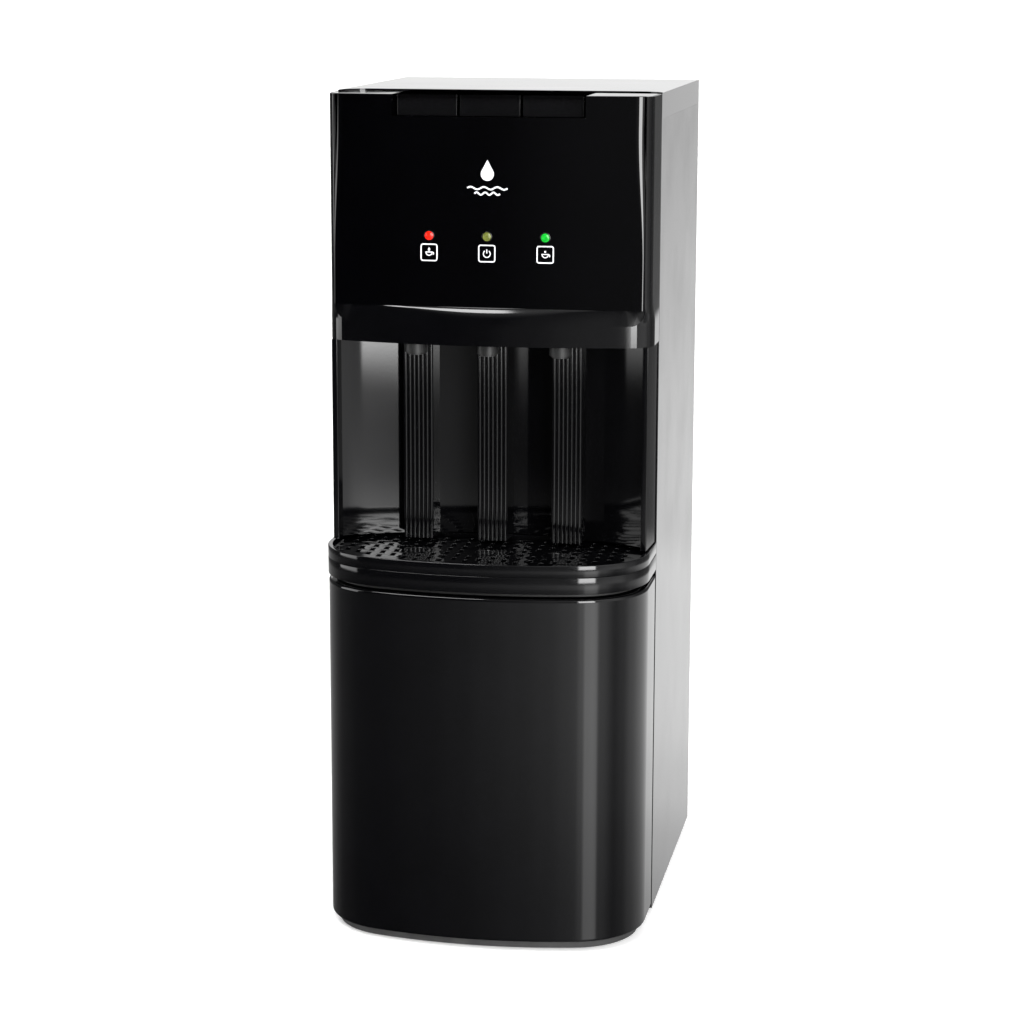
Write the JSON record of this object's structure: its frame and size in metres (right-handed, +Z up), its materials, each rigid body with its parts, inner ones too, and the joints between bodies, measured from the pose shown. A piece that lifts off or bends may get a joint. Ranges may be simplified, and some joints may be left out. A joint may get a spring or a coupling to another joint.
{
  "type": "free-standing water dispenser",
  "caption": "Tall glossy black water dispenser with push keys over an open tap alcove, a drip drawer and a bowed cupboard door.",
  "frame": {"origin": "middle of the footprint, on the floor", "axes": "+Z up, the taps and the door face -Y, +X is the viewer's right"},
  "size_m": [0.31, 0.428, 0.803],
  "materials": {
    "gloss_black_plastic": "high gloss moulded",
    "gloss_black_steel": "high gloss black enamel",
    "face_gloss": "piano black, polished",
    "tray_black": "gloss moulded",
    "frame_black": "fine texture",
    "base_black": "fine texture",
    "key_black": "satin gloss",
    "lamp_red": "lit red lens",
    "lamp_dim": "unlit yellow-green lens",
    "lamp_green": "lit green lens",
    "board_green": "solder mask",
    "steel": "turned and brushed",
    "zinc": "zinc plated",
    "galvanised": "galvanised sheet",
    "foam": "expanded polystyrene",
    "white_plastic": "satin moulded",
    "tube_clear": "food grade polyethylene",
    "wire_black": "insulated wire",
    "copper": "bare copper",
    "mica": "heater band",
    "coil_black": "black dipped",
    "compressor_black": "black enamel",
    "rubber_black": "moulded",
    "switch_red": "translucent red",
    "switch_green": "translucent green",
    "ferrite": "magnet in a plastic case"
  },
  "bodies": {
    "cabinet": {"base_pan": "base_black", "feet": "rubber_black", "left_side_panel": "gloss_black_steel", "right_side_panel": "gloss_black_steel", "rear_panel": "coil_black", "bay_partition": "galvanised", "mid_deck": "frame_black", "top_lid": "gloss_black_plastic", "head_shell": "gloss_black_plastic", "head_base_plate": "frame_black", "face_panel": "face_gloss", "alcove_liner": "gloss_black_plastic", "fluted_pillars": "gloss_black_plastic", "nozzle_hot": "frame_black", "nozzle_room": "frame_black", "nozzle_cold": "frame_black", "valve_hot": "white_plastic", "valve_room": "white_plastic", "valve_cold": "white_plastic", "lamp_hot": "lamp_red", "lamp_power": "lamp_dim", "lamp_cold": "lamp_green", "control_board": "board_green", "key_frame": "frame_black", "key_axle": "steel", "key_switches": "frame_black", "cold_tank": "steel", "cold_tank_jacket": "foam", "hot_tank": "steel", "heater_band": "mica", "thermostats": "frame_black", "cold_tube": "tube_clear", "hot_tube": "white_plastic", "room_tube": "tube_clear", "supply_tube": "tube_clear", "compressor": "compressor_black", "compressor_mounts": "rubber_black", "filter_dryer": "copper", "condenser_coil": "coil_black", "filter_bracket": "white_plastic", "sediment_filter": "white_plastic", "carbon_filter": "white_plastic", "polishing_filter": "white_plastic", "water_inlet": "white_plastic", "drain_outlet": "white_plastic", "power_inlet": "frame_black", "wiring_loom": "wire_black", "switch_housings": "frame_black", "door_pins": "steel", "catch_magnet": "ferrite", "rear_screws": "zinc"},
    "door": {"door": "gloss_black_plastic", "strike_plate": "zinc"},
    "drip_drawer": {"drip_tray": "tray_black", "drip_grille": "tray_black"},
    "hot_key": {"key_hot": "key_black"},
    "room_key": {"key_room": "key_black"},
    "cold_key": {"key_cold": "key_black"},
    "heating_rocker": {"heating_switch": "switch_red"},
    "cooling_rocker": {"cooling_switch": "switch_green"}
  },
  "joints": [
    {"name": "door_hinge", "type": "hinge", "parent": "cabinet", "child": "door", "pos_m": [-0.1505, -0.093, 0.177], "axis": [0, 0, -1], "range_deg": [0, 105]},
    {"name": "drawer_slide", "type": "slide", "parent": "cabinet", "child": "drip_drawer", "axis": [0, -1, 0], "range_m": [0, 0.14]},
    {"name": "hot_key_press", "type": "hinge", "parent": "cabinet", "child": "hot_key", "pos_m": [-0.05967, -0.06, 0.795], "axis": [1, 0, 0], "range_deg": [0, 3.5], "stiffness_Nm_per_rad": 2.3, "springref_deg": -1.72},
    {"name": "room_key_press", "type": "hinge", "parent": "cabinet", "child": "room_key", "pos_m": [0, -0.06, 0.795], "axis": [1, 0, 0], "range_deg": [0, 3.5], "stiffness_Nm_per_rad": 2.3, "springref_deg": -1.72},
    {"name": "cold_key_press", "type": "hinge", "parent": "cabinet", "child": "cold_key", "pos_m": [0.05967, -0.06, 0.795], "axis": [1, 0, 0], "range_deg": [0, 3.5], "stiffness_Nm_per_rad": 2.3, "springref_deg": -1.72},
    {"name": "heating_switch_rock", "type": "hinge", "parent": "cabinet", "child": "heating_rocker", "pos_m": [-0.094, 0.194, 0.725], "axis": [1, 0, 0], "range_deg": [0, 12]},
    {"name": "cooling_switch_rock", "type": "hinge", "parent": "cabinet", "child": "cooling_rocker", "pos_m": [-0.066, 0.194, 0.725], "axis": [1, 0, 0], "range_deg": [0, 12]}
  ]
}
